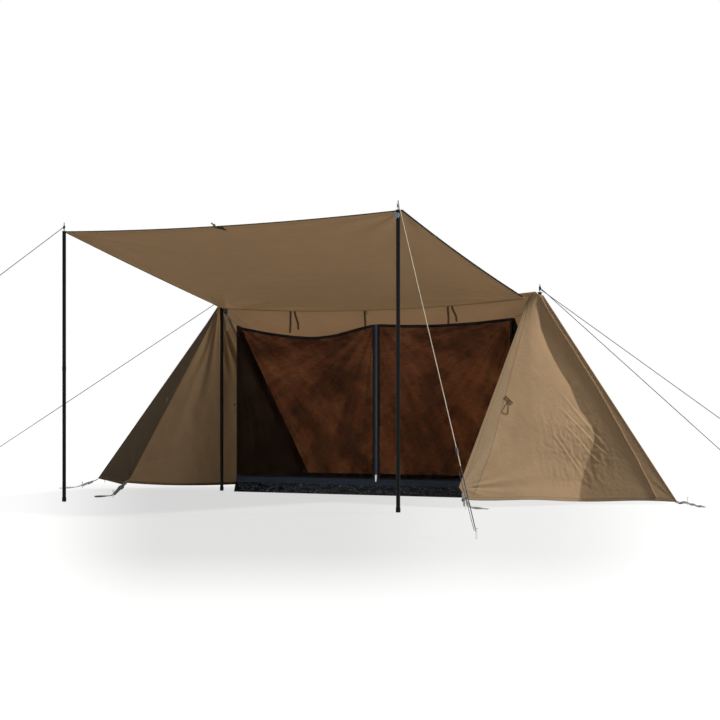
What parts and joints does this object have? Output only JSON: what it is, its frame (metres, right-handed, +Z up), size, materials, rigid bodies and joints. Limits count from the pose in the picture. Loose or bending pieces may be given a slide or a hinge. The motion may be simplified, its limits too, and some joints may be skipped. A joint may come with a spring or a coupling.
{
  "type": "military shelter tent",
  "caption": "Ridge shelter tent pitched on poles, with its front panel raised as an awning, side wings and a netting inner tent.",
  "frame": {"origin": "on the ground under the middle of the ridge, on the groundsheet's underside", "axes": "+X along the ridge, -Y out of the open front under the awning, +Z up"},
  "size_m": [7, 5.349, 1.9605],
  "materials": {
    "canvas": "matt woven canvas",
    "netting": "fine dark netting",
    "groundsheet": "coated, slightly glossy",
    "pole": "black, satin",
    "ring": "plain steel",
    "peg": "plain steel",
    "buckle": "black, moulded",
    "webbing": "pale webbing",
    "zip_tape": "dark zip tape",
    "zip_metal": "bright metal",
    "light_cord": "cream laid rope",
    "dark_cord": "dark grey cord"
  },
  "bodies": {
    "tent": {"rear_wall": "canvas", "ridge_webbing": "canvas", "left_front_wing": "canvas", "right_front_wing": "canvas", "left_rear_end": "canvas", "right_rear_end": "canvas", "left_front_strap": "webbing", "right_front_strap": "webbing", "left_side_strap": "webbing", "right_side_strap": "webbing", "left_rear_strap": "webbing", "right_rear_strap": "webbing", "left_front_peg": "peg", "right_front_peg": "peg", "left_side_peg": "peg", "right_side_peg": "peg", "left_rear_peg": "peg", "right_rear_peg": "peg", "left_ridge_pole_lower": "pole", "left_ridge_pole_upper": "pole", "right_ridge_pole_lower": "pole", "right_ridge_pole_upper": "pole", "left_ridge_ring": "ring", "right_ridge_ring": "ring", "left_awning_guy_peg": "peg", "right_awning_guy_peg": "peg", "left_front_ridge_guy": "dark_cord", "right_front_ridge_guy": "dark_cord", "left_rear_ridge_guy": "dark_cord", "right_rear_ridge_guy": "dark_cord", "left_front_guy_peg": "peg", "right_front_guy_peg": "peg", "left_rear_guy_peg": "peg", "right_rear_guy_peg": "peg", "left_inner_buckle": "buckle", "right_inner_buckle": "buckle", "left_inner_strap": "webbing", "right_inner_strap": "webbing", "groundsheet": "groundsheet", "mesh_rear": "netting", "left_mesh_end": "netting", "right_mesh_end": "netting"},
    "awning": {"awning": "canvas"},
    "left_awning_pole": {"left_awning_pole_lower": "pole", "left_awning_pole_upper": "pole", "left_awning_ring": "ring"},
    "right_awning_pole": {"right_awning_pole_lower": "pole", "right_awning_pole_upper": "pole", "right_awning_ring": "ring"},
    "left_awning_guy": {"left_awning_guy": "light_cord"},
    "right_awning_guy": {"right_awning_guy": "light_cord"},
    "left_awning_runner": {"left_awning_runner": "buckle"},
    "right_awning_runner": {"right_awning_runner": "buckle"},
    "left_door": {"left_mesh_door": "netting", "left_zip_tape": "zip_tape"},
    "right_door": {"right_mesh_door": "netting", "right_zip_tape": "zip_tape"},
    "zip_slider": {"zip_slider": "zip_metal"},
    "zip_pull": {"zip_pull": "zip_metal"}
  },
  "joints": [
    {"name": "awning_fold", "type": "hinge", "parent": "tent", "child": "awning", "pos_m": [0, -0.04, 1.401], "axis": [1, 0, 0], "range_deg": [0, 55]},
    {"name": "left_awning_pole_fold", "type": "hinge", "parent": "awning", "child": "left_awning_pole", "pos_m": [-1.34, -1.9961, 1.897], "axis": [1, 0, 0], "range_deg": [0, 74]},
    {"name": "right_awning_pole_fold", "type": "hinge", "parent": "awning", "child": "right_awning_pole", "pos_m": [1.34, -1.9961, 1.897], "axis": [1, 0, 0], "range_deg": [0, 74]},
    {"name": "left_awning_guy_lower", "type": "hinge", "parent": "tent", "child": "left_awning_guy", "pos_m": [-2.84, -3.91, 0.03], "axis": [-0.7851, 0, 0.6193], "range_deg": [0, 52]},
    {"name": "right_awning_guy_lower", "type": "hinge", "parent": "tent", "child": "right_awning_guy", "pos_m": [2.84, -3.91, 0.03], "axis": [-0.7851, 0, -0.6193], "range_deg": [0, 52]},
    {"name": "left_runner_slide", "type": "slide", "parent": "left_awning_guy", "child": "left_awning_runner", "axis": [0.4867, 0.6183, 0.6171], "range_m": [-0.3, 1.2]},
    {"name": "right_runner_slide", "type": "slide", "parent": "right_awning_guy", "child": "right_awning_runner", "axis": [-0.4867, 0.6183, 0.6171], "range_m": [-0.3, 1.2]},
    {"name": "left_door_swing", "type": "hinge", "parent": "tent", "child": "left_door", "pos_m": [-1.2, -0.07, 0.12], "axis": [0, 0, 1], "range_deg": [-90, 0]},
    {"name": "right_door_swing", "type": "hinge", "parent": "tent", "child": "right_door", "pos_m": [1.2, -0.07, 0.12], "axis": [0, 0, -1], "range_deg": [-90, 0]},
    {"name": "zip_slide", "type": "slide", "parent": "right_door", "child": "zip_slider", "axis": [0, 0, 1], "range_m": [0, 1.12]},
    {"name": "zip_pull_swing", "type": "hinge", "parent": "zip_slider", "child": "zip_pull", "pos_m": [0.07, -0.0752, 0.1475], "axis": [1, 0, 0], "range_deg": [-150, 0]}
  ],
  "couplings": [
    {"joint": "left_awning_pole_fold", "follows": "awning_fold", "ratio": 1.3273},
    {"joint": "right_awning_pole_fold", "follows": "awning_fold", "ratio": 1.3273},
    {"joint": "left_awning_guy_lower", "follows": "awning_fold", "ratio": 0.93},
    {"joint": "right_awning_guy_lower", "follows": "awning_fold", "ratio": 0.93}
  ]
}
